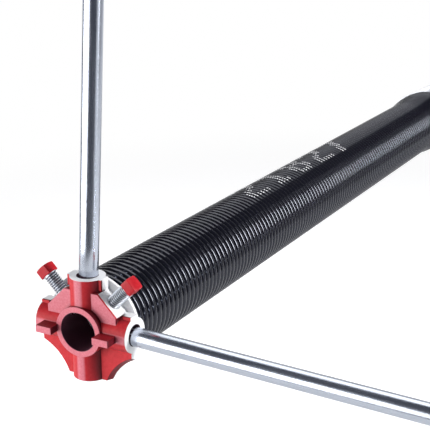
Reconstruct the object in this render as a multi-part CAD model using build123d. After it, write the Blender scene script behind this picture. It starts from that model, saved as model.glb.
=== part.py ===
from build123d import *
import os
from math import pi, sin, sqrt

# Garage door torsion spring: a close-wound spring on its shaft axis, with the cast
# winding cone at its front end, the cast stationary cone at its far end, two set
# screws and two winding bars standing in the winding cone's sockets.
#
# Millimetres. The origin is the centre of the winding cone's shaft bore, in the plane
# of its front ring. +Y runs along the shaft towards the stationary end, +Z up along
# the upper socket and +X along the right-hand socket.

# ---- driving dimensions: the spring ------------------------------------------------
wire = 5.55
spring_bore_radius = 25.4
coil_count = 126
front_ridges = 6
rear_ridges = 6
flared_coils = 14
flare = 3.2
groove_depth = 1.5
seat_gap = 0.3

# ---- driving dimensions: the winding cone ------------------------------------------
shaft_bore_radius = 13.1
ring_radius = 17.0
socket_radius = 11.7
socket_reach = 34.7
socket_floor = 16.0
socket_axis_y = 13.0
web_thickness = 8.0
web_corner = 17.0
web_waist = 24.2
web_inset = 2.3
rib_half_width = 13.0
top_pad_length = 7.5
side_pad_length = 6.2
lug_front_y = 4.5
lug_edge = 26.2
lug_face_distance = 27.6
flange_front_y = 18.2
flange_thickness = 2.5
flange_radius = 34.0
shoulder_radius = 30.0
barrel_length = 52.0
barrel_taper_length = 14.0
barrel_tip_radius = 22.0
barrel_wall = 4.6
bore_length = 28.0
dog_inner_x = 15.9
dog_outer_x = 27.6
dog_half_height = 2.35
dog_front_y = -7.6

# ---- driving dimensions: set screws (3/8 in, square head) and winding bars ----------
screw_radius = 4.76
screw_clearance = 0.08
screw_length = 25.4
left_head_distance = 42.2
right_head_distance = 43.8
head_across_flats = 9.53
head_height = 7.1
head_chamfer_height = 0.9
bar_radius = 6.35
bar_play = 0.8
bar_length = 457.2
bar_chamfer = 0.8
bar_floor_gap = 0.7

# Each bar rests askew in its socket: its shift is a share of its play in the bore, and
# its lean a share of the steepest lean that the play allows.
top_bar_shift = (0.125, 0.075)
top_bar_lean = (0.59723, 0.26297)
right_bar_shift = (-0.25, -0.5375)
right_bar_lean = (-0.08999, -0.31790)

# ---- driving dimensions: the stationary cone ---------------------------------------
stationary_barrel_length = 70.0
stationary_bore_radius = 13.1
stationary_body_radius = 27.5
stationary_body_length = 48.0
stationary_wall = 5.0
stationary_bore_length = 12.0
plate_thickness = 8.0
plate_radius = 33.0
ear_radius = 12.0
bolt_spacing = 87.3
bolt_hole_radius = 5.15

# ---- worked out from the above ------------------------------------------------------
spring_radius = spring_bore_radius + wire
rear_y = socket_axis_y + socket_radius
spring_start_y = rear_y + seat_gap
spring_end_y = spring_start_y + coil_count * wire
barrel_radius = spring_bore_radius - seat_gap
socket_bore_radius = bar_radius + bar_play
socket_middle = (socket_floor + socket_reach) / 2
bar_foot = socket_floor + bar_floor_gap
steepest_lean = 2 * bar_play / (socket_reach - socket_floor)
web_front_y = socket_axis_y - web_thickness / 2
plate_front_y = spring_end_y + seat_gap + stationary_body_length
plate_rear_y = plate_front_y + plate_thickness
DIAGONAL = 1 / sqrt(2)


def slab(outline, start_y, end_y):
    """A front-view outline (x, z) carried straight back from start_y to end_y."""
    front = Plane(origin=(0, start_y, 0), x_dir=(1, 0, 0), z_dir=(0, -1, 0))
    return extrude(front * outline, amount=start_y - end_y)


def rod(origin, direction, radius, start, end):
    """A round rod along a direction, from start to end measured from the origin."""
    base = Plane(origin=origin, z_dir=direction).offset(start)
    return extrude(base * Circle(radius), amount=end - start)


def turned(points):
    """A closed (radius, y) outline turned about the shaft axis."""
    outline = make_face(Polyline(*points, close=True))
    return revolve(outline, axis=Axis.Y, revolution_arc=360)


def socket_directions():
    return [(1, 0, 0), (0, 0, 1), (-1, 0, 0), (0, 0, -1)]


def lower_web_outline(inset):
    """The casting below the side sockets, waisted between them and the lower socket."""
    reach, corner, waist = socket_reach, web_corner - inset, web_waist - inset * DIAGONAL
    return make_face(
        Polyline((reach, -corner), (reach, 0), (-reach, 0), (-reach, -corner))
        + ThreePointArc((-reach, -corner), (-waist, -waist), (-corner, -reach))
        + Line((-corner, -reach), (corner, -reach))
        + ThreePointArc((corner, -reach), (waist, -waist), (reach, -corner)))


def arm_outline():
    """The square-edged arms that carry the upper socket and the two side sockets."""
    side_arms = Pos(0, rib_half_width / 2) * Rectangle(2 * socket_reach, rib_half_width)
    return side_arms + Pos(0, socket_reach / 2) * Rectangle(2 * rib_half_width, socket_reach)


def lug_outline(side):
    """Plate between the upper socket and one side socket, cut at 45 degrees."""
    short = lug_face_distance * sqrt(2) - lug_edge
    corners = [(0, 0), (0, lug_edge), (short, lug_edge), (lug_edge, short), (lug_edge, 0)]
    return make_face(Polyline(*[(side * x, z) for x, z in corners], close=True))


def screw_direction(side):
    return (side * DIAGONAL, 0, DIAGONAL)


def webs():
    """Webs and arms split at the parting plane, with pads in front at the socket ends."""
    front_y, back_y = web_front_y, socket_axis_y + web_thickness / 2
    front = Plane(origin=(0, front_y, 0), x_dir=(1, 0, 0), z_dir=(0, -1, 0))
    parting = front.offset(front_y - socket_axis_y)
    body = loft([front * lower_web_outline(web_inset), parting * lower_web_outline(0)])
    body += slab(lower_web_outline(0), socket_axis_y, back_y)
    body += slab(arm_outline(), socket_axis_y, back_y)
    top_pad = Pos(0, socket_reach - top_pad_length / 2) * Rectangle(
        2 * rib_half_width, top_pad_length)
    body += slab(top_pad, front_y, socket_axis_y)
    for side in (-1, 1):
        side_pad = Pos(side * (socket_reach - side_pad_length / 2), rib_half_width / 2)
        body += slab(side_pad * Rectangle(side_pad_length, rib_half_width), front_y, socket_axis_y)
    return body


def winding_cone():
    body = webs() + slab(Circle(ring_radius), 0, rear_y)
    body += slab(Circle(flange_radius), flange_front_y, flange_front_y + flange_thickness)
    body += slab(Circle(shoulder_radius), flange_front_y, rear_y)
    for side in (-1, 1):
        body += slab(lug_outline(side), lug_front_y, flange_front_y)
        dog = Pos(side * (dog_inner_x + dog_outer_x) / 2, 0, 0) * Rectangle(
            dog_outer_x - dog_inner_x, 2 * dog_half_height)
        body += slab(dog, dog_front_y, socket_axis_y)
    for direction in socket_directions():
        body += rod((0, socket_axis_y, 0), direction, socket_radius, 0, socket_reach)

    tip_y = rear_y + barrel_length
    body += turned([
        (0, rear_y), (barrel_radius, rear_y), (barrel_radius, tip_y - barrel_taper_length),
        (barrel_tip_radius, tip_y), (0, tip_y)])
    core_radius = barrel_tip_radius - barrel_wall
    body -= turned([
        (0, 0), (shaft_bore_radius, 0), (shaft_bore_radius, bore_length),
        (core_radius, bore_length), (core_radius, tip_y), (0, tip_y)])
    for direction in socket_directions():
        body -= rod((0, socket_axis_y, 0), direction, socket_bore_radius, socket_floor,
                    socket_reach + 1)
    for side in (-1, 1):
        body -= rod((0, socket_axis_y, 0), screw_direction(side),
                    screw_radius + screw_clearance, 0, lug_face_distance + 1)
    return body


def growth(coil):
    """How far the coils near the stationary end stand out beyond the plain ones."""
    share = max(0, 1 - (coil_count - coil) / flared_coils)
    return flare * sin(0.8 * pi * share) ** 2


def swelling(radius):
    """The crown of the swelling and the last coil, as (radius, y) points."""
    coils = [coil_count - (1 - 1 / 1.6) * flared_coils, coil_count]
    return [(radius + growth(coil), spring_start_y + coil * wire) for coil in coils]


def torsion_spring():
    """Coils as ridges at both ends with a plain sleeve between, swollen at the rear."""
    first_flared = coil_count - flared_coils
    flare_start_y = spring_start_y + first_flared * wire
    outside = [(spring_radius - groove_depth, spring_start_y)]
    for coil in range(coil_count):
        middle_y = spring_start_y + (coil + 0.5) * wire
        if coil < front_ridges or coil >= coil_count - rear_ridges:
            outside.append((spring_radius + growth(coil + 0.5), middle_y))
            groove = spring_radius - groove_depth + growth(coil + 1)
            outside.append((groove, middle_y + wire / 2))
        elif coil in (front_ridges, first_flared):
            outside.append((spring_radius, middle_y))
    inside = swelling(spring_bore_radius)[::-1]
    return turned(outside + inside + [
        (spring_bore_radius, flare_start_y), (spring_bore_radius, spring_start_y)])


def set_screw(side, head_distance):
    """A square-head screw, partly screwed in, with its shank plain."""
    origin = (0, socket_axis_y, 0)
    direction = screw_direction(side)
    shank = rod(origin, direction, screw_radius, head_distance - screw_length, head_distance)
    base = Plane(origin=origin, x_dir=(0, 1, 0), z_dir=direction).offset(head_distance)
    head = extrude(base * Rectangle(head_across_flats, head_across_flats), amount=head_height)
    flat_radius, corner_radius = head_across_flats / 2, head_across_flats * DIAGONAL
    wide_radius = flat_radius + (corner_radius - flat_radius) * head_height / head_chamfer_height
    head &= base * Cone(wide_radius, flat_radius, head_height,
                        align=(Align.CENTER, Align.CENTER, Align.MIN))
    return shank + head


def winding_bar(foot, direction):
    """A plain round bar, chamfered at both ends."""
    bar = rod(foot, direction, bar_radius, 0, bar_length)
    return chamfer(bar.edges().filter_by(GeomType.CIRCLE), bar_chamfer)


def askew(shift, lean):
    """A bar's two offsets from its socket's axis, at its foot, and its two slopes to it."""
    slopes = [share * steepest_lean for share in lean]
    offsets = [share * bar_play + slope * (bar_foot - socket_middle)
               for share, slope in zip(shift, slopes)]
    return offsets, slopes


def top_bar():
    (x, y), (slope_x, slope_y) = askew(top_bar_shift, top_bar_lean)
    return winding_bar((x, socket_axis_y + y, bar_foot), (slope_x, slope_y, 1))


def right_bar():
    (y, z), (slope_y, slope_z) = askew(right_bar_shift, right_bar_lean)
    return winding_bar((bar_foot, socket_axis_y + y, z), (1, slope_y, slope_z))


def bracket_plate():
    """The two-eared plate that is bolted to the anchor bracket, as an (x, z) outline."""
    ears = [Pos(side * bolt_spacing / 2, 0) for side in (-1, 1)]
    outline = Circle(plate_radius) + [ear * Circle(ear_radius) for ear in ears]
    plate = make_hull(outline.edges()) - Circle(stationary_bore_radius)
    return plate - [ear * Circle(bolt_hole_radius) for ear in ears]


def stationary_cone():
    body_start_y = spring_end_y + seat_gap
    tip_y = spring_end_y - stationary_barrel_length
    web_y = plate_rear_y - stationary_bore_length
    seat = swelling(barrel_radius)
    barrel_core = barrel_tip_radius - stationary_wall
    body_core = stationary_body_radius - stationary_wall
    body = turned([
        (barrel_core, tip_y), (barrel_tip_radius, tip_y), *seat, (seat[-1][0], body_start_y),
        (stationary_body_radius, body_start_y), (stationary_body_radius, plate_front_y),
        (stationary_bore_radius, plate_front_y), (stationary_bore_radius, web_y),
        (body_core, web_y), (body_core, body_start_y), (barrel_core, body_start_y)])
    return body + slab(bracket_plate(), plate_front_y, plate_rear_y)


nodes = {
    "winding_cone": winding_cone(),
    "torsion_spring": torsion_spring(),
    "stationary_cone": stationary_cone(),
    "set_screw_left": set_screw(-1, left_head_distance),
    "set_screw_right": set_screw(1, right_head_distance),
    "winding_bar_top": top_bar(),
    "winding_bar_right": right_bar(),
}
os.makedirs("parts", exist_ok=True)
for name, shape in nodes.items():
    export_step(shape, f"parts/{name}.step")
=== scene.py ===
# %% [markdown]
# # Garage door torsion spring
#
# A garage door hangs on a long coil of black wire that is wound up like a clock spring.
# Its front end grips a red cast winding cone with four sockets and two square-head set
# screws. Two loose steel bars stand in the sockets and are the levers that wind it. A
# bare cone at the far end is bolted to a bracket on the wall.
#
# The CAD model of the part is a fixed frame: +Y runs along the shaft away from the
# winding cone, +Z is up along the upper socket, and every length is in metres. Both
# castings keep their CAD meshes and only get a finish here. The spring, the bars and the
# screws are made again in more detail, because a true coil and a true thread are too
# heavy for the CAD model, which stays behind them for the collisions.

import math

import bmesh
import bpy
import numpy as np
from mathutils import Matrix, Quaternion, Vector


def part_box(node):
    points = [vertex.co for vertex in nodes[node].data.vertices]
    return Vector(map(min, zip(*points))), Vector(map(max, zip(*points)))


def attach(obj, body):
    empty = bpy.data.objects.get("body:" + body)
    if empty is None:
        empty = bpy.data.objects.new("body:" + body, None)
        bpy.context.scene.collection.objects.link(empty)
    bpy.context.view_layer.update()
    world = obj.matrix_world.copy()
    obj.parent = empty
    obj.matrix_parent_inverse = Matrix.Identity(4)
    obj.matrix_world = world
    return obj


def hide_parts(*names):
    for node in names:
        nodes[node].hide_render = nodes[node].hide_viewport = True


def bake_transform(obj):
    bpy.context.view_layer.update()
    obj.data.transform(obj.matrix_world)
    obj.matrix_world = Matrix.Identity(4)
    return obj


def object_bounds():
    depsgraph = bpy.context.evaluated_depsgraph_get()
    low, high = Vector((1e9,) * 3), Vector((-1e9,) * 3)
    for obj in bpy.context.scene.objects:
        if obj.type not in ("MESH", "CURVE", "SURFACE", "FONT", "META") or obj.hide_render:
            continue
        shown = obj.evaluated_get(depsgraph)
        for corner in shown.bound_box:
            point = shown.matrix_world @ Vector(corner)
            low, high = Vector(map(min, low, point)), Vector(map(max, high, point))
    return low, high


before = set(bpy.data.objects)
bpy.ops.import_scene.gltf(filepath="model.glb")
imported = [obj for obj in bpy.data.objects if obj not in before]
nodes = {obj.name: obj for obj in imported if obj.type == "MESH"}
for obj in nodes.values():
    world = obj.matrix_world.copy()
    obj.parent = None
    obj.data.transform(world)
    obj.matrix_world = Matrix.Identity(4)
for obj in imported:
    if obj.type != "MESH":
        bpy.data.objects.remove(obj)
cad_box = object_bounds()
bpy.context.scene.view_settings.view_transform = "Standard"
print("nodes", sorted(nodes))
print("CAD box", [[round(v, 4) for v in corner] for corner in cad_box])

# %% [markdown]
# ## Sizes
#
# Spring wire, bars and screws are stock goods, so a few trade sizes describe them. They
# could be typed in wherever they are used, but then one change would mean many. Here
# each trade size is written once, and whatever has to fit the castings is measured on
# the frame, so the new meshes always lie where the CAD model says.

# %% Trade sizes
MM = 0.001
INCH = 25.4 * MM
WIRE = 5.55 * MM
SPRING_BORE_RADIUS = INCH
BAR_RADIUS = INCH / 4
SCREW_RADIUS = 4.76 * MM
THREAD_PITCH = INCH / 16


def in_mm(length):
    return round(length / MM, 2)


print("wire", in_mm(WIRE), "bar", in_mm(2 * BAR_RADIUS), "screw", in_mm(2 * SCREW_RADIUS), "mm")

# %% Sizes read from the frame
spring_low, spring_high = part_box("torsion_spring")
COILS = round((spring_high.y - spring_low.y) / WIRE)
SPRING_RADIUS = SPRING_BORE_RADIUS + WIRE / 2
SOCKET_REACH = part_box("winding_cone")[1].z
SOCKET_AXIS_Y = round(sum(corner.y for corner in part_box("set_screw_left")) / 2, 6)
print("coils", COILS, "sockets reach", in_mm(SOCKET_REACH), "mm from the shaft's axis")
print("sockets and screws lie", in_mm(SOCKET_AXIS_Y), "mm behind the face of the front ring")

# %% [markdown]
# ## Camera
#
# The winding cone has the most to show, so the camera stands close to it, to its right
# and a little above, and lets the coils run away into the distance. A short lens from
# nearer by would swell the cone, and a very long one from far off would flatten the
# spring. An 88 mm lens at 0.7 m gives the taper that a fitter sees at arm's length. The
# direction could be three Euler angles, but an azimuth, an elevation and a small roll
# are easier to change one at a time, as on a tripod.

# %% Camera lens
CAMERA_LENS = 88.34
SENSOR_WIDTH = 36

camera = bpy.data.objects.new("camera", bpy.data.cameras.new("camera"))
bpy.context.scene.collection.objects.link(camera)
bpy.context.scene.camera = camera
camera.data.lens = CAMERA_LENS
camera.data.sensor_width = SENSOR_WIDTH
camera.data.clip_start = 0.01
camera.data.clip_end = 20
print("lens", CAMERA_LENS, "mm, view", round(math.degrees(camera.data.angle), 1), "degrees wide")

# %% Camera place and direction
CAMERA_PLACE = Vector((0.3724, -0.5021, 0.2742))
CAMERA_AZIMUTH = math.radians(28.50)
CAMERA_ELEVATION = math.radians(17.58)
CAMERA_ROLL = math.radians(-0.2)

ahead = Vector((
    -math.sin(CAMERA_AZIMUTH) * math.cos(CAMERA_ELEVATION),
    math.cos(CAMERA_AZIMUTH) * math.cos(CAMERA_ELEVATION),
    -math.sin(CAMERA_ELEVATION),
))
camera.rotation_mode = "QUATERNION"
camera.location = CAMERA_PLACE
camera.rotation_quaternion = ahead.to_track_quat("-Z", "Y") @ Quaternion((0, 0, 1), CAMERA_ROLL)
print("camera at", [round(v, 3) for v in camera.location])

# %% [markdown]
# ## Shader nodes in code
#
# A finish is a tree of nodes. It could be wired by hand in the shader editor, but the
# paint of the winding cone alone takes about a hundred nodes. In code a few helpers do
# it: add a node, feed one of its sockets with a number or with another node's output,
# and give a name to each operation that comes back often. They stand in three classes,
# each built on the one before: plain wiring, sums with masks, and a whole material
# around the Principled shader, which is an all-round surface with a base colour, a
# metallic share and a roughness. With them each finish below reads as a short recipe.

# %% Wiring
def opaque(colour):
    """A colour of three numbers, with the alpha that a socket asks for."""
    return colour if isinstance(colour, bpy.types.NodeSocket) else (*colour, 1.0)


class Wiring:
    """A node tree: add() makes a node, feed() fills one of its sockets."""

    def __init__(self, tree):
        self.tree = tree

    def add(self, kind, settings=None, **sockets):
        node = self.tree.nodes.new(kind)
        for key, value in (settings or {}).items():
            setattr(node, key, value)
        for key, value in sockets.items():
            self.feed(node, key, value)
        return node

    def feed(self, node, key, value):
        """The socket goes by its name, or by its number as in0, in1 and so on."""
        socket = node.inputs[int(key[2:])] if key.startswith("in") else node.inputs[key]
        if isinstance(value, bpy.types.NodeSocket):
            self.tree.links.new(value, socket)
        else:
            socket.default_value = value


print("a colour for a socket:", opaque((0.5, 0.5, 0.5)))


# %% Sums and masks
class Sums(Wiring):
    """Arithmetic on numbers, colours and masks, done by nodes."""

    def math(self, operation, a, b=0.0):
        return self.add("ShaderNodeMath", {"operation": operation}, in0=a, in1=b).outputs[0]

    def xyz(self, vector):
        split = self.add("ShaderNodeSeparateXYZ", in0=vector)
        return split.outputs[0], split.outputs[1], split.outputs[2]

    def reach(self, a, b):
        """The distance from an axis, from the two coordinates across it."""
        squares = self.math("MULTIPLY", a, a), self.math("MULTIPLY", b, b)
        return self.math("SQRT", self.math("ADD", *squares))

    def ramp(self, value, low, high, out_low=0.0, out_high=1.0, curve="SMOOTHSTEP"):
        """Runs from out_low to out_high while the value runs from low to high."""
        return self.add("ShaderNodeMapRange", {"interpolation_type": curve}, in0=value,
                        in1=low, in2=high, in3=out_low, in4=out_high).outputs[0]

    def mix(self, factor, a, b):
        """Colour a where the factor is 0, and colour b where it is 1."""
        return self.add("ShaderNodeMix", {"data_type": "RGBA"}, in0=factor,
                        in6=opaque(a), in7=opaque(b)).outputs[2]

    def both(self, *masks):
        """The smallest of several masks: where all of them hold."""
        result = masks[0]
        for mask in masks[1:]:
            result = self.math("MINIMUM", result, mask)
        return result

    def either(self, *masks):
        """The largest of several masks: where any of them holds."""
        result = masks[0]
        for mask in masks[1:]:
            result = self.math("MAXIMUM", result, mask)
        return result


print("sums and masks:", [name for name in vars(Sums) if not name.startswith("_")])


# %% Materials
class Recipe(Sums):
    """A material that is being built on its Principled shader."""

    def __init__(self, name):
        self.material = bpy.data.materials.new(name)
        self.material.use_nodes = True
        super().__init__(self.material.node_tree)
        self.shader = self.tree.nodes["Principled BSDF"]

    def set(self, **sockets):
        for key, value in sockets.items():
            self.feed(self.shader, key.replace("_", " "), value)

    def place(self):
        return self.add("ShaderNodeTexCoord").outputs["Object"]

    def noise(self, place, scale, detail=3.0, roughness=0.5):
        return self.add("ShaderNodeTexNoise", Vector=place, Scale=scale, Detail=detail,
                        Roughness=roughness).outputs["Fac"]

    def bump(self, height, strength, distance, **under):
        """Dents by height. Normal= gives the surface that the dents are pressed into."""
        return self.add("ShaderNodeBump", Height=height, Strength=strength,
                        Distance=distance, **under).outputs[0]

    def rounded(self, radius):
        """Normals that make sharp edges look rounded, with the mesh as it is."""
        return self.add("ShaderNodeBevel", {"samples": 4}, Radius=radius).outputs[0]


def finish_node(name, recipe):
    """Puts a finish in every slot of a CAD node."""
    for slot in nodes[name].material_slots:
        slot.material = recipe.material
    print(name, "finished with", len(recipe.tree.nodes), "nodes")


print("for materials:", [name for name in vars(Recipe) if not name.startswith("_")])

# %% [markdown]
# ## Winding cone: where the paint is
#
# The real cone is one aluminium casting, dipped in red paint from the front to its
# parting plane. The socket ends are machined after that, and the sloping faces that the
# set screws enter and the sides of the arms are bare. The bores carry a painted shade,
# nearly black.
#
# The paint could be a picture laid over an unwrapped mesh. Here its borders are worked
# out from the position on the casting, which needs no unwrapping and stays sharp from
# any distance. Each mask is 1 inside its area and 0 outside, with a narrow soft edge.
# Masks are joined by taking the smallest or the largest of them, and a little noise
# makes the paint's border wander as it does on the real thing.

# %% Sloping faces round the set screws
SLOPE_OUT = 27.3 * MM
SLOPE_FADE = 0.2 * MM
SLOPE_SPAN = 26.5 * MM


def slope_mask(recipe, place):
    """1 on the two 45 degree faces that the set screws enter."""
    x, _, z = recipe.xyz(place)
    across, height = recipe.math("ABSOLUTE", x), recipe.math("ABSOLUTE", z)
    out = recipe.math("MULTIPLY", recipe.math("ADD", across, z), math.sqrt(0.5))
    return recipe.both(
        recipe.ramp(out, SLOPE_OUT, SLOPE_OUT + SLOPE_FADE),
        recipe.math("LESS_THAN", across, SLOPE_SPAN),
        recipe.math("LESS_THAN", height, SLOPE_SPAN),
    )


print("sloping faces lie beyond", in_mm(SLOPE_OUT), "mm from the shaft's axis")

# %% Bare metal
PAINT_END_Y = 13.1 * MM
RED_RIM_Y = 6.0 * MM
ARM_SIDE_Y = 10.6 * MM
PAINT_WANDER = 0.8 * MM
PAINT_FADE = 0.4 * MM
ARM_HALF_WIDTH = 12.8 * MM
ARM_FADE = 0.1 * MM
MACHINED_DEPTH = 0.4 * MM
MACHINED_FADE = 0.2 * MM


def bare_mask(recipe, place):
    """1 where the winding cone is bare."""
    x, y, z = recipe.xyz(place)
    across, height = recipe.math("ABSOLUTE", x), recipe.math("ABSOLUTE", z)
    wander = recipe.math("MULTIPLY", recipe.noise(place, scale=170, detail=4), PAINT_WANDER)
    depth = recipe.math("ADD", y, wander)
    machined = SOCKET_REACH - MACHINED_DEPTH
    behind = recipe.ramp(depth, PAINT_END_Y, PAINT_END_Y + PAINT_FADE)
    ends = recipe.ramp(recipe.math("MAXIMUM", across, height), machined, machined + MACHINED_FADE)
    slopes = recipe.both(slope_mask(recipe, place),
                         recipe.ramp(depth, RED_RIM_Y, RED_RIM_Y + PAINT_FADE))
    arm_sides = recipe.both(
        recipe.ramp(across, ARM_HALF_WIDTH, ARM_HALF_WIDTH + ARM_FADE),
        recipe.ramp(z, ARM_HALF_WIDTH, ARM_HALF_WIDTH + ARM_FADE),
        recipe.ramp(depth, ARM_SIDE_Y, ARM_SIDE_Y + PAINT_FADE),
    )
    return recipe.either(behind, ends, slopes, arm_sides)


print("paint ends", in_mm(PAINT_END_Y), "mm behind the face of the front ring")

# %% Painted shade in the bores
SHAFT_BORE = 13.2 * MM
SOCKET_BORE = 7.2 * MM
SOCKET_START = 15.5 * MM
BORE_FADE = 0.15 * MM


def bore_shade_mask(recipe, place):
    """1 inside the shaft bore and the four sockets, where shade is painted."""
    x, y, z = recipe.xyz(place)
    behind_axis = recipe.math("SUBTRACT", y, SOCKET_AXIS_Y)
    from_shaft = recipe.reach(x, z)
    shaft = recipe.ramp(from_shaft, SHAFT_BORE + BORE_FADE, SHAFT_BORE)
    upright, level = (
        recipe.ramp(recipe.reach(side, behind_axis), SOCKET_BORE + BORE_FADE, SOCKET_BORE)
        for side in (x, z)
    )
    outer = recipe.math("GREATER_THAN", from_shaft, SOCKET_START)
    return recipe.either(shaft, recipe.both(recipe.either(upright, level), outer))


print("sockets are dark from", in_mm(SOCKET_START), "mm outward")

# %% [markdown]
# ## Winding cone: the colours
#
# The red is painted light on the faces that look to the front left, where the front lamp
# falls, and painted shade, thin and dark, on the faces that look away. Painted shade makes
# it darkest in the creases. The flat front faces carry a painted pink sheen. The bare
# metal is bright, with painted shade on the faces that look to the rear.
#
# One even red would look like plastic, so a shaded, a lit and a pale red are mixed. The
# way that a face looks comes from the casting's own normals. The creases come from
# ambient occlusion, which measures how closed in a point is, and the mottling comes from
# noise. All three are worked out on the object, so the colours stay where they are when
# the camera moves.

# %% Red painted lit and shaded by the way a face looks
# Painted light and shade: faces that look this way get the lit red, and faces turned away get the
# shaded red.
PAINTED_LIGHT_FROM = (-0.46, -0.86, 0.20)
SHADE_TO_LIGHT = -0.2, 0.95
WEB_EDGE_TILT = 1.2, 1.35
WEB_EDGE_LIGHT = 0.5


def painted_light_mask(recipe, place, normal):
    """How lit the painted red is, from the way that a face looks.

    Painted light goes on faces toward the front lamp, and painted shade on those turned away.
    The slopes are lit too, and the web edges that look down and out are half lit."""
    toward = recipe.add("ShaderNodeVectorMath", {"operation": "DOT_PRODUCT"}, in0=normal,
                        in1=PAINTED_LIGHT_FROM).outputs["Value"]
    x, _, z = recipe.xyz(normal)
    down_and_out = recipe.math("SUBTRACT", recipe.math("ABSOLUTE", x), z)
    web_edge = recipe.ramp(down_and_out, *WEB_EDGE_TILT, 0.0, WEB_EDGE_LIGHT)
    return recipe.either(recipe.ramp(toward, *SHADE_TO_LIGHT), slope_mask(recipe, place), web_edge)


print("the red is fullest toward", PAINTED_LIGHT_FROM)

# %% Painted sheen on the flat front faces
FRONT_FACES_END_Y = 6 * MM
FLAT_FRONT = 0.95, 0.995


def front_sheen_mask(recipe, place, normal):
    """1 on the flat front faces of the ring, the driving dogs and the screw lugs, for a painted
    sheen.
    """
    forward = recipe.math("MULTIPLY", recipe.xyz(normal)[1], -1.0)
    in_front = recipe.math("LESS_THAN", recipe.xyz(place)[1], FRONT_FACES_END_Y)
    return recipe.both(recipe.ramp(forward, *FLAT_FRONT), in_front)


print("scuffed faces end", in_mm(FRONT_FACES_END_Y), "mm behind the face of the front ring")

# %% Red paint
# The shaded reds are painted shade, the lit reds are painted light, and the pale reds are a painted
# sheen.
SHADED_REDS = (0.08, 0.002, 0.007), (0.12, 0.003, 0.010)
LIT_REDS = (0.50, 0.012, 0.020), (0.76, 0.045, 0.055)
SHEEN_PINKS = (0.62, 0.06, 0.10), (0.88, 0.30, 0.36)
CREASE_SHADE_RED = (0.10, 0.002, 0.008)
CREASE_WIDTH = 5 * MM
CREASE_TO_OPEN = 0.25, 0.75


def red_paint(recipe, place, normal, front_sheen):
    mottle = recipe.noise(place, scale=420, detail=5, roughness=0.65)
    # thin is the painted shade of the red, and full is its painted light.
    thin, full = recipe.mix(mottle, *SHADED_REDS), recipe.mix(mottle, *LIT_REDS)
    # The pale reds are a painted sheen: the front lamp's reflection on the flat front faces.
    pale = recipe.mix(recipe.noise(place, scale=700, detail=5, roughness=0.7), *SHEEN_PINKS)
    lit_and_shaded_red = recipe.mix(painted_light_mask(recipe, place, normal), thin, full)
    # Painted shade: ambient occlusion turns the red to the dark crease red where a point is closed
    # in.
    openness = recipe.add("ShaderNodeAmbientOcclusion", {"samples": 8}, Distance=CREASE_WIDTH)
    return recipe.mix(recipe.ramp(openness.outputs["AO"], *CREASE_TO_OPEN), CREASE_SHADE_RED,
                      recipe.mix(front_sheen, lit_and_shaded_red, pale))


print("reds", SHADED_REDS[0], "to", SHEEN_PINKS[1])

# %% Bare aluminium
BRIGHT_METALS = (0.90, 0.91, 0.93), (0.97, 0.975, 0.98)
SHADED_REAR_METAL = (0.66, 0.67, 0.69)
REAR_TILT = 0.1, 0.8


def bare_aluminium(recipe, place, normal):
    """Bright metal with painted shade on the faces that look to the rear."""
    bright = recipe.mix(recipe.noise(place, scale=240, detail=5), *BRIGHT_METALS)
    rearward = recipe.xyz(normal)[1]
    return recipe.mix(recipe.ramp(rearward, *REAR_TILT), bright, SHADED_REAR_METAL)


print("bare metal", BRIGHT_METALS[0], "at the rear", SHADED_REAR_METAL)

# %% Skin of the casting
EDGE_ROUNDING = 0.7 * MM


def sand_cast_skin(recipe, place, grain):
    """Fine sand grain over soft lumps, on slightly rounded edges."""
    lumps = recipe.bump(recipe.noise(place, scale=260), strength=0.3, distance=0.4 * MM,
                        Normal=recipe.rounded(EDGE_ROUNDING))
    return recipe.bump(grain, strength=0.5, distance=0.15 * MM, Normal=lumps)


print("the casting's edges look rounded by", in_mm(EDGE_ROUNDING), "mm")

# %% Finish of the winding cone
# Painted shade for the bores, nearly black.
BORE_SHADE_METAL = (0.12, 0.045, 0.068)
BARE_METALLIC = 0.06
GRAIN_SPAN = 0.2, 0.8
CASTING_ROUGHNESS = 0.36, 0.48
SHINE_OFF_AND_ON_FRONT_SHEEN = 0.22, 0.5


def winding_cone_finish():
    recipe = Recipe("red_dipped_casting")
    place = recipe.place()
    normal = recipe.add("ShaderNodeTexCoord").outputs["Normal"]
    bare = bare_mask(recipe, place)
    front_sheen = front_sheen_mask(recipe, place, normal)
    red = red_paint(recipe, place, normal, front_sheen)
    outside = recipe.mix(bare, red, bare_aluminium(recipe, place, normal))
    grain = recipe.noise(place, scale=1400, detail=4, roughness=0.6)
    recipe.set(
        Base_Color=recipe.mix(bore_shade_mask(recipe, place), outside, BORE_SHADE_METAL),
        Metallic=recipe.math("MULTIPLY", bare, BARE_METALLIC),
        Roughness=recipe.ramp(grain, *GRAIN_SPAN, *CASTING_ROUGHNESS),
        Specular_IOR_Level=recipe.ramp(front_sheen, 0.0, 1.0, *SHINE_OFF_AND_ON_FRONT_SHEEN),
        Normal=sand_cast_skin(recipe, place, grain),
    )
    return recipe


finish_node("winding_cone", winding_cone_finish())

# %% [markdown]
# ## Stationary cone: plain aluminium
#
# The cone at the far end is left as it comes out of the mould. It could share the
# winding cone's finish with the paint left out, but most of that tree would do nothing
# here. A short recipe of its own is easier to follow: two greys mixed by noise, and a
# fine grain that roughens the shine and dents the surface together.

# %% Finish of the stationary cone
PLAIN_GREYS = (0.55, 0.56, 0.60), (0.74, 0.75, 0.79)
PLAIN_METALLIC = 0.8
PLAIN_ROUGHNESS = 0.36, 0.52
PLAIN_ROUNDING = 0.6 * MM


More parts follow.
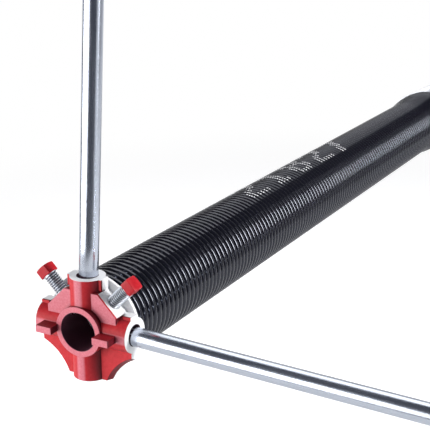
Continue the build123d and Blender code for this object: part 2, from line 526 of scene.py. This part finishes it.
def stationary_cone_finish():
    recipe = Recipe("bare_casting")
    place = recipe.place()
    shade = recipe.noise(place, scale=200, detail=5)
    grain = recipe.noise(place, scale=1300, detail=4, roughness=0.6)
    recipe.set(
        Base_Color=recipe.mix(shade, *PLAIN_GREYS),
        Metallic=PLAIN_METALLIC,
        Roughness=recipe.ramp(grain, *GRAIN_SPAN, *PLAIN_ROUGHNESS),
        Normal=recipe.bump(grain, strength=0.3, distance=0.12 * MM,
                           Normal=recipe.rounded(PLAIN_ROUNDING)),
    )
    return recipe


finish_node("stationary_cone", stationary_cone_finish())

# %% [markdown]
# ## Spring: the coil
#
# The real spring is one length of hard steel wire, coated black and wound right-handed
# with each coil against the next. The last coils swell over the stationary cone, and the
# wire is cut square at its ends.
#
# A curve with a round bevel gives a coil too, and so does a Screw modifier. The curve
# gives less say over its faces, though, and the modifier can't swell. Here the rings
# round the wire are placed by a formula: 16 points round the wire and 48 rings a turn
# stay under the 200,000 triangles that one piece may have, and the swelling is one line.
# The wire is drawn a hair too thin, so that the coils' meshes don't touch each other.

# %% Shape of the coil
FLARED_COILS = 14
FLARE = 3.2 * MM
FLARE_SWEEP = 0.8 * math.pi
END_ANGLE = math.radians(-32)


def flare_at(coil):
    """How far a coil stands out over the stationary cone, counted from the front."""
    share = min(max(1 - (COILS - 1 - coil) / FLARED_COILS, 0.0), 1.0)
    return FLARE * math.sin(FLARE_SWEEP * share) ** 2


def outward_at(angle):
    """The way out from the shaft's axis, at an angle clockwise from the top."""
    return Vector((math.sin(angle), 0, math.cos(angle)))


def coil_place(coil, angle, extra=0.0):
    """A point on the wire's middle line, or that much further out."""
    along = Vector((0, spring_low.y + WIRE / 2 + coil * WIRE, 0))
    return along + outward_at(angle) * (SPRING_RADIUS + flare_at(coil) + extra)


print("flare over the last coils", [in_mm(flare_at(COILS - 1 - back)) for back in (14, 9, 5, 0)])


# %% Meshes made of rings
def mesh_object(name, vertices, faces, material, smooth=True):
    mesh = bpy.data.meshes.new(name)
    mesh.from_pydata(vertices, [], faces)
    mesh.materials.append(material)
    mesh.validate()
    mesh.update()
    if smooth:
        mesh.shade_smooth()
    obj = bpy.data.objects.new(name, mesh)
    bpy.context.scene.collection.objects.link(obj)
    return obj


def tube_faces(rings, sides):
    """Faces of a closed tube whose rings turn right-handed about the way it runs."""
    faces = [tuple(reversed(range(sides)))]
    for ring in range(rings - 1):
        for side in range(sides):
            a = ring * sides + side
            b = ring * sides + (side + 1) % sides
            faces.append((b, b + sides, a + sides, a))
    last = (rings - 1) * sides
    faces.append(tuple(range(last, last + sides)))
    return faces


print("a tube of 3 rings of 8 has", len(tube_faces(3, 8)), "faces")

# %% Black coating
COATING_BLACKS = (0.003, 0.003, 0.006), (0.008, 0.008, 0.014)
COATING_ROUGHNESS = 0.07, 0.11
COATING_SHINE = 0.55
SHINE_TINT = (0.84, 0.88, 1.0)
SHADE_SPAN = 0.25, 0.75


def coating_material():
    """A bluish black that is glossy enough to show each lamp as a thin bright line."""
    recipe = Recipe("black_coated_wire")
    place = recipe.place()
    shade = recipe.noise(place, scale=120, detail=4)
    recipe.set(
        Base_Color=recipe.mix(shade, *COATING_BLACKS),
        Roughness=recipe.ramp(shade, *SHADE_SPAN, *COATING_ROUGHNESS),
        Specular_IOR_Level=COATING_SHINE,
        Specular_Tint=opaque(SHINE_TINT),
        Normal=recipe.bump(recipe.noise(place, scale=1800), strength=0.05, distance=0.03 * MM),
    )
    return recipe.material


coating = coating_material()
print("coating ready with", len(coating.node_tree.nodes), "nodes")

# %% Spring wire
TURN_STEPS = 48
WIRE_SIDES = 16
COIL_CLEARANCE = 0.008 * MM
Y_AXIS = Vector((0, 1, 0))


def wire_ring(coil, angle):
    """Points round the wire at one place of the coil."""
    middle, outward = coil_place(coil, angle), outward_at(angle)
    for side in range(WIRE_SIDES):
        turn = math.tau * side / WIRE_SIDES
        offset = outward * math.cos(turn) - Y_AXIS * math.sin(turn)
        yield middle + offset * (WIRE / 2 - COIL_CLEARANCE)


def spring_wire():
    turns = COILS - 1
    steps = turns * TURN_STEPS
    vertices = []
    for step in range(steps + 1):
        coil = step / TURN_STEPS
        vertices.extend(wire_ring(coil, END_ANGLE + math.tau * (coil - turns)))
    return mesh_object("spring_wire", vertices, tube_faces(steps + 1, WIRE_SIDES), coating)


spring = spring_wire()
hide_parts("torsion_spring")
print("spring wire", len(spring.data.polygons), "faces")

# %% [markdown]
# ## Spring: printed size code
#
# A spring often carries its size, printed by a row of ink jets, so each stroke is a line
# of dots on the coils' crests, and the grooves between them stay black. A text object
# wrapped round the coil would run through the grooves. Here each digit is a small grid
# with one column to a coil, and every mark in it is laid on its crest as two dots. The
# numbers are plain ones: 218 for the wire in thousandths of an inch, and 27 for the
# length in whole inches. The dots are thin and closed, with their feet sunk into the
# wire.

# %% Digits
DIGITS = {
    "2": ("011110", "110011", "000011", "000110", "011000", "110000", "111111"),
    "1": ("001100", "011100", "001100", "001100", "001100", "001100", "011110"),
    "8": ("011110", "110011", "110011", "011110", "110011", "110011", "011110"),
    "7": ("111111", "000011", "000110", "001100", "001100", "011000", "011000"),
}
PRINT_TEXT = "21827"
PRINT_PITCH = 8


def printed_marks():
    """(column along the spring, row round it) of every mark in the text."""
    return [(index * PRINT_PITCH + column, row)
            for index, digit in enumerate(PRINT_TEXT)
            for row, line in enumerate(DIGITS[digit])
            for column, mark in enumerate(line) if mark == "1"]


print("marks in the text", len(printed_marks()))

# %% Dots
DOT_RADIUS = 0.75 * MM
DOT_LENGTHENING = 1.15
DOT_SAG = 0.16
DOT_THICKNESS = 0.15 * MM
DOT_SIDES = 8


def dot(place, outward, vertices, faces):
    """A thin closed spot that follows the crest of a coil."""
    side = Y_AXIS.cross(outward).normalized()
    first = len(vertices)
    for sunk in (DOT_THICKNESS, 0.0):
        for k in range(DOT_SIDES):
            turn = math.tau * k / DOT_SIDES
            reach = side * math.cos(turn) * DOT_RADIUS * DOT_LENGTHENING
            along = Y_AXIS * math.sin(turn) * DOT_RADIUS
            drop = math.sin(turn) ** 2 * DOT_RADIUS * DOT_SAG + sunk
            vertices.append(place + reach + along - outward * drop)
    for face in tube_faces(2, DOT_SIDES):
        faces.append(tuple(first + corner for corner in face))


print("dots", in_mm(2 * DOT_RADIUS), "mm across")

# %% White ink
INK_WHITES = (0.90, 0.90, 0.92), (0.98, 0.98, 0.99)
INK_ROUGHNESS = 0.6


def ink_material():
    recipe = Recipe("white_print")
    shade = recipe.noise(recipe.place(), scale=900)
    recipe.set(Base_Color=recipe.mix(shade, *INK_WHITES), Roughness=INK_ROUGHNESS)
    return recipe.material


ink = ink_material()
print("ink ready with", len(ink.node_tree.nodes), "nodes")

# %% Printed numbers
PRINT_FIRST_COIL = 37
PRINT_TOP = math.radians(-36)
PRINT_ROW = math.radians(8.2)
PRINT_SLANT = math.radians(0.2)
PRINT_HEIGHT = 0.06 * MM


def printed_numbers():
    vertices, faces = [], []
    for column, row in printed_marks():
        for half in (0.0, 0.5):
            angle = PRINT_TOP + (row + half) * PRINT_ROW + column * PRINT_SLANT
            part_turn = ((angle - END_ANGLE) / math.tau) % 1
            coil = PRINT_FIRST_COIL + column + part_turn
            place = coil_place(coil, angle, WIRE / 2 + PRINT_HEIGHT)
            dot(place, outward_at(angle), vertices, faces)
    return mesh_object("printed_numbers", vertices, faces, ink, smooth=False)


numbers = printed_numbers()
print("printed dots", len(numbers.data.vertices) // (2 * DOT_SIDES))

# %% [markdown]
# ## Spring: placement baked in
#
# When the spring is wound its front end turns with the winding cone and its far end
# stands still, and every coil between turns by its share. Here the spring wire and the
# printed numbers only have their placement baked into their meshes.

# %% Placement baked into the meshes
for piece in (spring, numbers):
    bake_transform(piece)
print("twists over", in_mm(spring_high.y - spring_low.y), "mm")

# %% [markdown]
# ## Winding bars
#
# The bars are cold-drawn round steel with a small chamfer at each end and a thin bright
# plating. A plain cylinder would have knife-sharp ends. They are turned instead, as on a
# lathe: a radius for each distance is spun about the axis of the bar's CAD node.
# That axis is worked out from the node's own points, because each bar leans a little in
# its socket. The plating gets fine streaks along the bar by stretching its noise.

# %% Axis of a long round piece
END_SHARE = 0.3


def node_axis(name):
    """(centre of one end, unit direction, length) of a long round CAD node."""
    points = np.array([v.co for v in nodes[name].data.vertices])
    centre = points.mean(axis=0)
    direction = np.linalg.svd(points - centre, full_matrices=False)[2][0]
    if direction[np.argmax(np.abs(direction))] < 0:
        direction = -direction
    along = (points - centre) @ direction
    low, high = along.min(), along.max()
    near = points[along < low + END_SHARE * (high - low)].mean(axis=0)
    start = near + direction * (low - (near - centre) @ direction)
    return Vector(start), Vector(direction), float(high - low)


print("upper bar leans", [round(v, 4) for v in node_axis("winding_bar_top")[1]])


# %% Turned pieces
def turned_object(name, start, direction, distances, radius_at, sides, material):
    """A round piece about an axis. radius_at(distance, angle) gives its shape."""
    turn = direction.to_track_quat("Z", "Y").to_matrix()
    vertices = []
    for distance in distances:
        for side in range(sides):
            angle = math.tau * side / sides
            radius = radius_at(distance, angle)
            local = Vector((radius * math.cos(angle), radius * math.sin(angle), distance))
            vertices.append(start + turn @ local)
    return mesh_object(name, vertices, tube_faces(len(distances), sides), material)


print("pieces can be turned about any axis")

# %% Outline of a bar
BAR_CHAMFER = 0.8 * MM
BAR_STRETCHES = 12


def bar_distances(length):
    """Where the rings of a bar lie: at its ends, at its chamfers and between them."""
    straight = length - 2 * BAR_CHAMFER
    inner = [BAR_CHAMFER + straight * k / BAR_STRETCHES for k in range(BAR_STRETCHES + 1)]
    return [0, *inner, length]


def bar_radius(distance, length):
    """The full radius, less the chamfer at either end."""
    from_end = min(distance, length - distance)
    return BAR_RADIUS - max(0.0, BAR_CHAMFER - from_end)


print("bar is", in_mm(2 * bar_radius(0, 1)), "mm across its end,", in_mm(2 * bar_radius(0.5, 1)),
      "mm along its length")

# %% Plated steel
PLATING_GREYS = (0.50, 0.54, 0.62), (0.57, 0.61, 0.70)
PLATING_ROUGHNESS = 0.19, 0.29
STREAK_SPAN = 0.25, 0.75


def plating_material(name, stretch):
    """Plated steel whose fine streaks run along the piece's own length."""
    recipe = Recipe(name)
    place = recipe.place()
    stretched = recipe.add("ShaderNodeMapping", Vector=place, Scale=stretch).outputs[0]
    streaks = recipe.noise(stretched, scale=420, detail=4, roughness=0.6)
    recipe.set(
        Base_Color=recipe.mix(recipe.noise(place, scale=60), *PLATING_GREYS),
        Metallic=1.0,
        Roughness=recipe.ramp(streaks, *STREAK_SPAN, *PLATING_ROUGHNESS),
        Normal=recipe.bump(streaks, strength=0.06, distance=0.04 * MM),
    )
    return recipe.material


print("plating", PLATING_GREYS[0], "to", PLATING_GREYS[1])

# %% Winding bars
BAR_SIDES = 96
STREAK_STRETCH = 0.02


def winding_bar(name, stretch):
    start, direction, length = node_axis(name)
    bar = turned_object(f"{name}_round", start, direction, bar_distances(length),
                        lambda distance, angle: bar_radius(distance, length), BAR_SIDES,
                        plating_material(f"{name}_plating", stretch))
    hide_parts(name)
    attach(bar, "winding_end")
    print(name, "length", in_mm(length), "mm, direction", [round(v, 4) for v in direction])


winding_bar("winding_bar_top", (1, 1, STREAK_STRETCH))
winding_bar("winding_bar_right", (STREAK_STRETCH, 1, 1))

# %% [markdown]
# ## Set screws
#
# Each set screw is a zinc-plated 3/8 inch screw with 16 threads to the inch and a square
# head with red paint on it. A bump texture could fake the thread, but its outline would
# stay straight, and the outline is what shows against the white. So the shank is turned
# like the bars, but its radius rises and falls with the distance and the angle together,
# which is just what a helical thread does. It runs out at the head and at the tip.
#
# The head starts as a cube cut into a fine grid. Its top is domed and its corners are
# drawn in by moving the points, and a bevel modifier breaks the edges that are left.

# %% Thread
THREAD_DEPTH = 0.97 * MM
THREAD_CREST = 1.25
TIP_CHAMFER = 0.9 * MM
TIP_LENGTH = 1.2 * MM
RUNOUT_LENGTH = 0.9 * MM
SHANK_SIDES = 40
RINGS_PER_PITCH = 10


def thread_radius(distance, angle, length):
    """Radius of the threaded shank at a distance from its tip."""
    phase = (distance / THREAD_PITCH - angle / math.tau) % 1
    depth = THREAD_DEPTH * min(1.0, abs(2 * phase - 1) * THREAD_CREST)
    runout = min(1.0, (length - distance) / RUNOUT_LENGTH)
    tip = SCREW_RADIUS - TIP_CHAMFER + TIP_CHAMFER * min(1.0, distance / TIP_LENGTH)
    return min(SCREW_RADIUS - depth * runout, tip)


print("thread pitch", in_mm(THREAD_PITCH), "depth", in_mm(THREAD_DEPTH), "mm")


# %% Threaded shank
def threaded_shank(name, start, direction, length, material):
    rows = int(length / THREAD_PITCH * RINGS_PER_PITCH)
    distances = [length * row / rows for row in range(rows + 1)]
    return turned_object(name, start, direction, distances,
                         lambda distance, angle: thread_radius(distance, angle, length),
                         SHANK_SIDES, material)


print("shank has", SHANK_SIDES * RINGS_PER_PITCH, "faces to each turn of the thread")

# %% Shape of a square head
HEAD_ACROSS = 9.53 * MM
HEAD_HEIGHT = 7.1 * MM
HEAD_DOME = 0.9 * MM
HEAD_CUTS = 15
CORNER_DRAW = 0.06
DOME_CURVE, CORNER_CURVE = 2.2, 8


def head_mesh(name):
    """A square head that stands on its own origin, with a domed top."""
    mesh = bmesh.new()
    bmesh.ops.create_cube(mesh, size=1.0)
    bmesh.ops.scale(mesh, vec=(HEAD_ACROSS, HEAD_ACROSS, HEAD_HEIGHT), verts=mesh.verts)
    bmesh.ops.translate(mesh, vec=(0, 0, HEAD_HEIGHT / 2), verts=mesh.verts)
    bmesh.ops.subdivide_edges(mesh, edges=mesh.edges[:], cuts=HEAD_CUTS, use_grid_fill=True)
    corner = HEAD_ACROSS / math.sqrt(2)
    for point in mesh.verts:
        out = math.hypot(point.co.x, point.co.y) / corner
        lift = max(0.0, 2 * point.co.z / HEAD_HEIGHT - 1)
        point.co.z -= lift * HEAD_DOME * out ** DOME_CURVE
        point.co.xy *= 1 - CORNER_DRAW * out ** CORNER_CURVE
    data = bpy.data.meshes.new(name)
    mesh.to_mesh(data)
    mesh.free()
    return data


print("head", in_mm(HEAD_ACROSS), "mm across,", in_mm(HEAD_HEIGHT), "mm high")

# %% Square head in place
EDGE_BEVEL = 0.35 * MM
BEVELLED_ANGLE = math.radians(40)


def screw_head(name, start, direction, material):
    data = head_mesh(name)
    data.materials.append(material)
    turn = direction.to_track_quat("Z", "Y").to_matrix()
    data.transform(Matrix.Translation(start) @ turn.to_4x4())
    data.shade_smooth()
    obj = bpy.data.objects.new(name, data)
    bpy.context.scene.collection.objects.link(obj)
    edges = obj.modifiers.new("edges", "BEVEL")
    edges.width = EDGE_BEVEL
    edges.segments = 2
    edges.angle_limit = BEVELLED_ANGLE
    return obj


print("edges of the heads are broken by", in_mm(EDGE_BEVEL), "mm")

# %% Paint of the heads
HEAD_REDS = (0.42, 0.008, 0.016), (0.60, 0.02, 0.03)
HEAD_SPAN = 0.3, 0.7
HEAD_ROUGHNESS = 0.30, 0.45
HEAD_SHINE = 0.25


def head_paint():
    recipe = Recipe("screw_head_paint")
    place = recipe.place()
    shade = recipe.noise(place, scale=260, detail=4)
    recipe.set(
        Base_Color=recipe.mix(shade, *HEAD_REDS),
        Roughness=recipe.ramp(shade, *HEAD_SPAN, *HEAD_ROUGHNESS),
        Specular_IOR_Level=HEAD_SHINE,
        Normal=recipe.bump(recipe.noise(place, scale=900, detail=4), strength=0.25,
                           distance=0.1 * MM),
    )
    return recipe.material


red_head = head_paint()
print("head paint ready with", len(red_head.node_tree.nodes), "nodes")

# %% Plating of the threads, with painted shade and highlight
THREAD_ROOT = SCREW_RADIUS - 0.8 * THREAD_DEPTH
THREAD_TOP = SCREW_RADIUS - 0.1 * THREAD_DEPTH
ZINC_SHADE_TO_HIGHLIGHT = (0.22, 0.24, 0.28), (0.80, 0.84, 0.90)
ZINC_METALLIC, ZINC_ROUGHNESS = 0.8, 0.30


def thread_material(name, side):
    """Zinc plating with a painted highlight on the thread's crests and painted shade in its roots.
    """
    recipe = Recipe(name)
    x, y, z = recipe.xyz(recipe.place())
    beside = recipe.math("MULTIPLY", recipe.math("SUBTRACT", x, recipe.math("MULTIPLY", z, side)),
                         math.sqrt(0.5))
    out = recipe.reach(beside, recipe.math("SUBTRACT", y, SOCKET_AXIS_Y))
    crest = recipe.ramp(out, THREAD_ROOT, THREAD_TOP)
    recipe.set(Base_Color=recipe.mix(crest, *ZINC_SHADE_TO_HIGHLIGHT), Metallic=ZINC_METALLIC,
               Roughness=ZINC_ROUGHNESS)
    return recipe.material


print("thread is dark at", in_mm(THREAD_ROOT), "and bright at", in_mm(THREAD_TOP), "mm out")


# %% Set screws
def set_screw(name, side, body):
    """A screw on the 45 degree axis to one side, as long as its CAD node."""
    direction = Vector((side, 0, 1)).normalized()
    origin = Vector((0, SOCKET_AXIS_Y, 0))
    along = [(v.co - origin).dot(direction) for v in nodes[name].data.vertices]
    tip, under_head = min(along), max(along) - HEAD_HEIGHT
    shank = threaded_shank(f"{name}_shank", origin + direction * tip, direction,
                           under_head - tip, thread_material(f"{name}_zinc", side))
    head = screw_head(f"{name}_head", origin + direction * under_head, direction, red_head)
    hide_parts(name)
    for piece in (shank, head):
        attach(piece, body)
    print(name, "from", in_mm(tip), "to", in_mm(max(along)), "mm off the shaft's axis")


set_screw("set_screw_left", -1, "left_screw")
set_screw("set_screw_right", 1, "right_screw")

# %% [markdown]
# ## Floor
#
# The spring is held above a door, so the floor lies well below it and takes only a soft
# shadow. A floor that was lit until it looked white would throw too much light back on
# the object. This one is a pale disc. A glow that only the camera sees lifts it to white,
# and towards its rim it fades into the white of the background. Mirror rays see that
# fade too, so the plated steel shows the same surroundings.

# %% Floor finish
FLOOR_RADIUS = 1.5
FADE_START, FADE_END = 0.3 * FLOOR_RADIUS, 0.9 * FLOOR_RADIUS
FLOOR_GREY = (0.90, 0.90, 0.90)
FLOOR_ROUGHNESS = 0.95
FLOOR_GLOW = 0.54


def floor_material():
    recipe = Recipe("white_floor")
    recipe.set(Base_Color=opaque(FLOOR_GREY), Roughness=FLOOR_ROUGHNESS, Specular_IOR_Level=0.0)
    x, y, _ = recipe.xyz(recipe.place())
    rim = recipe.ramp(recipe.reach(x, y), FADE_START, FADE_END)
    path = recipe.add("ShaderNodeLightPath").outputs
    seen = recipe.either(path["Is Camera Ray"], path["Is Glossy Ray"], path["Is Transmission Ray"])
    glow = recipe.math("MULTIPLY", path["Is Camera Ray"], FLOOR_GLOW)
    lift = recipe.add("ShaderNodeEmission", Strength=glow).outputs[0]
    white = recipe.add("ShaderNodeEmission", Strength=1.0).outputs[0]
    lit = recipe.add("ShaderNodeAddShader", in0=recipe.shader.outputs[0], in1=lift).outputs[0]
    faded = recipe.add("ShaderNodeMixShader", in0=recipe.math("MULTIPLY", rim, seen), in1=lit,
                       in2=white)
    recipe.feed(recipe.tree.nodes["Material Output"], "Surface", faded.outputs[0])
    return recipe.material


print("floor fades out from", round(FADE_START, 2), "to", round(FADE_END, 2), "m off its middle")

# %% Floor
FLOOR_DROP = 0.30
FLOOR_MIDDLE_Y = 0.85
FLOOR_SIDES = 96

rim_turns = [math.tau * k / FLOOR_SIDES for k in range(FLOOR_SIDES)]
rim_points = [Vector((math.cos(turn), math.sin(turn), 0)) * FLOOR_RADIUS for turn in rim_turns]
floor = mesh_object("floor", rim_points, [tuple(range(FLOOR_SIDES))], floor_material(), smooth=False)
floor.location = (0.0, FLOOR_MIDDLE_Y, cad_box[0].z - FLOOR_DROP)
print("floor at", round(floor.location.z, 3), "m")

# %% [markdown]
# ## Background
#
# The camera sees plain white behind the spring. If the whole room were white, though,
# the black wire and the bars would mirror it and turn grey. So the world is white to the
# camera, and in mirrors only low down behind the object, where a white sweep would
# stand. Everywhere else the room is dim, and the metal stays dark between the lamps.

# %% White sweep in a dim room
WHITE = (1.0, 1.0, 1.0)
DIM_ROOM = (0.08, 0.084, 0.10)
SWEEP_START, SWEEP_FULL = 0.10, 0.40
SWEEP_TOP, SWEEP_FOOT = 0.42, -0.15
SWEEP_TILT = 0.6


def background():
    world = bpy.data.worlds.new("studio")
    bpy.context.scene.world = world
    world.use_nodes = True
    room = Sums(world.node_tree)
    shader = room.tree.nodes["Background"]
    path = room.add("ShaderNodeLightPath").outputs
    x, y, z = room.xyz(room.add("ShaderNodeTexCoord").outputs["Generated"])
    behind = room.ramp(y, SWEEP_START, SWEEP_FULL, curve="LINEAR")
    height = room.math("ADD", room.math("MULTIPLY", x, SWEEP_TILT), z)
    low = room.ramp(height, SWEEP_TOP, SWEEP_FOOT, curve="LINEAR")
    mirrored = room.math("MULTIPLY", room.math("MULTIPLY", behind, low), path["Is Glossy Ray"])
    seen = room.either(mirrored, path["Is Camera Ray"], path["Is Transmission Ray"])
    room.feed(shader, "Color", room.mix(seen, DIM_ROOM, WHITE))
    room.feed(shader, "Strength", 1.0)
    return room


print("background has", len(background().tree.nodes), "nodes")

# %% [markdown]
# ## Lamps
#
# Bare point lamps would give hard shadows and tiny highlights, so all the light comes
# from area lamps, which shine from a whole surface as softboxes do. A wide one to the
# front left lights the castings. One overhead, towards the back, rims the coils. A tall
# narrow strip on the right, with a brighter core, draws the streak that runs from coil
# to coil, and a weak low one lifts the shadow side. The camera doesn't see the lamps,
# but glossy metal does.

# %% Lamps
def lamp(name, place, target, width, height, watts, shape="RECTANGLE"):
    """A soft area lamp that faces a target point."""
    light = bpy.data.lights.new(name, "AREA")
    light.shape = shape
    light.size, light.size_y = width, height
    light.energy = watts
    obj = bpy.data.objects.new(name, light)
    bpy.context.scene.collection.objects.link(obj)
    obj.location = place
    obj.rotation_mode = "QUATERNION"
    obj.rotation_quaternion = (Vector(target) - Vector(place)).to_track_quat("-Z", "Y")
    obj.visible_camera = False
    print(name, watts, "W")


lamp("overhead_softbox", (-0.25, 0.9, 1.35), (0, 0.25, 0), width=1.1, height=1.2, watts=9)
lamp("front_softbox", (-1.05, -1.17, 0.10), (0, 0, 0.05), width=2.2, height=1.3, watts=36)
lamp("right_strip", (1.51, 0.40, 0.66), (0, 0.15, 0), width=0.34, height=1.8, watts=8,
     shape="ELLIPSE")
lamp("right_strip_core", (1.50, 0.42, 0.62), (0, 0.15, 0), width=0.40, height=0.85, watts=23,
     shape="ELLIPSE")
lamp("low_right_softbox", (1.6, 0.1, -0.25), (0, 0, 0), width=1.0, height=0.4, watts=1.0)

# %% [markdown]
# ## Finish
